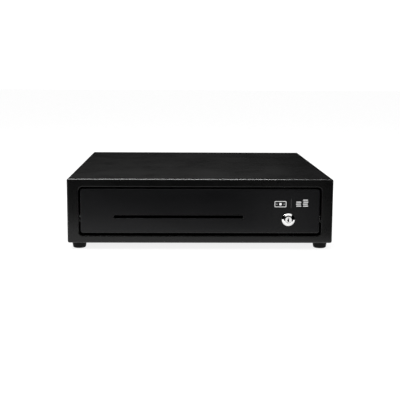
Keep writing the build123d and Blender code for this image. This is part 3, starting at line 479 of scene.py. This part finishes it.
# Rubber seals in the faces of the ball bearings. A seal's section is given as (out of the
# bearing's recessed face, in from its rim), in metres: a lip at each edge and a groove between.
face_recess = 0.0004
seal_section = (
    (-0.00002, 0.0019), (0.00018, 0.0021), (0.00024, 0.0028), (0.00012, 0.0034),
    (0.0002, 0.0039), (0.00004, 0.0042), (-0.0002, 0.0041), (-0.0002, 0.002),
)
for end in ("front", "rear"):
    for side in ("left", "right"):
        name = f"{end}_bearing_{side}"
        low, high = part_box(name)
        centre = (low + high) / 2
        face = (high.x - low.x) / 2 - face_recess
        radius = (high.z - low.z) / 2
        profile = [(face + out, radius - inward) for out, inward in seal_section]
        for tag, s in (("in", -1), ("out", 1)):
            turned_ring(f"{name}_seal_{tag}", profile, centre, (s, 0, 0), FINISHES["pad_rubber"],
                        name)


# ---------------------------------------------------------------- floor, lights and camera

# The floor glows a little, so that it stays pale and even without a bright light on the object.
floor_mat = Graph("floor")
grain = floor_mat.noise(floor_mat.mapped(), 30.0, detail=3.0, rough=0.5)
floor_mat.finish(
    floor_mat.colours(grain, (0.3, grey(0.13)), (0.7, grey(0.15))),
    floor_mat.spread(grain, 0.75, 0.85),
    Specular_IOR_Level=0.1,
    Emission_Color=(1.0, 1.0, 1.0, 1.0),
    Emission_Strength=0.84,
)
floor_reach = 9.0


def floor_sheet(name, near, far, mirrored, x0=-floor_reach, x1=floor_reach, z=0.0):
    """Part of the studio floor. near and far are the y of its edges, each at x0 and at x1, and
    mirrored says whether glossy surfaces reflect it."""
    bm = bmesh.new()
    corners = ((x0, near[0]), (x1, near[1]), (x1, far[1]), (x0, far[0]))
    bm.faces.new([bm.verts.new((x, y, z)) for x, y in corners])
    mesh = bpy.data.meshes.new(name)
    bm.to_mesh(mesh)
    bm.free()
    sheet = bpy.data.objects.new(name, mesh)
    mesh.materials.append(floor_mat.material)
    scene.collection.objects.link(sheet)
    sheet.visible_glossy = mirrored
    return sheet


# The front mirrors floor_near up to its slanting near edge, and nothing beyond it, which makes
# the front bright at its foot and dark at its top. The patch is mirrored by the lock's plug.
near_edge, back_edge = (-3.05, 2.35), (3.0, 3.0)
patch_near, patch_far, patch_z = (-0.57, -0.57), (-0.39, -0.39), 0.0003
patch = floor_sheet("floor_patch", patch_near, patch_far, True, 0.11, 0.23, patch_z)
patch.visible_camera = False
patch.visible_diffuse = False
patch.visible_shadow = False
floor_sheet("floor_near", near_edge, back_edge, True)
floor_sheet("floor_front", (-floor_reach, -floor_reach), near_edge, False)
floor_sheet("floor_back", back_edge, (floor_reach, floor_reach), False)

world = bpy.data.worlds.new("studio")
scene.world = world
world.use_nodes = True
background = world.node_tree.nodes["Background"]
background.inputs["Color"].default_value = (1.0, 1.0, 1.0, 1.0)
background.inputs["Strength"].default_value = 1.15
world.cycles_visibility.glossy = False
scene.view_settings.view_transform = "Standard"


def area_light(name, place, aim, size, power):
    data = bpy.data.lights.new(name, "AREA")
    data.shape = "RECTANGLE"
    data.size, data.size_y = size
    data.energy = power
    light = bpy.data.objects.new(name, data)
    light.location = place
    light.rotation_euler = (Vector(aim) - Vector(place)).to_track_quat("-Z", "Y").to_euler()
    light.visible_camera = False
    scene.collection.objects.link(light)


# A sheen on the cover, the highlight along its front bend, and the lock's upper crescent.
area_light("back_light", (-0.6, 2.1, 1.0), (-0.1, 0, 0.1), size=(2.2, 0.6), power=0.45)
area_light("edge_light", (-0.31, 0.02, 1.35), (-0.17, -0.2, 0.1), size=(1.5, 0.3), power=49)
area_light("lock_light", (0.0, -0.9, 1.25), (0.1, -0.2, 0.05), size=(3.2, 0.5), power=6.5)

# The camera, as fitted to the outline in the photograph. Its pitch is downwards.
camera_data = bpy.data.cameras.new("camera")
camera = bpy.data.objects.new("camera", camera_data)
camera_data.lens = 77.09
camera_data.sensor_width = 36.0
camera.location = (-0.03025, -1.5079, 0.2806)
yaw, pitch, roll = 0.02273, 0.15474, 0.0058
look = Vector((
    math.sin(yaw) * math.cos(pitch), math.cos(yaw) * math.cos(pitch), -math.sin(pitch)
))
level = look.to_track_quat("-Z", "Y")
camera.rotation_euler = (level @ Quaternion((0, 0, 1), roll)).to_euler()
scene.collection.objects.link(camera)
scene.camera = camera
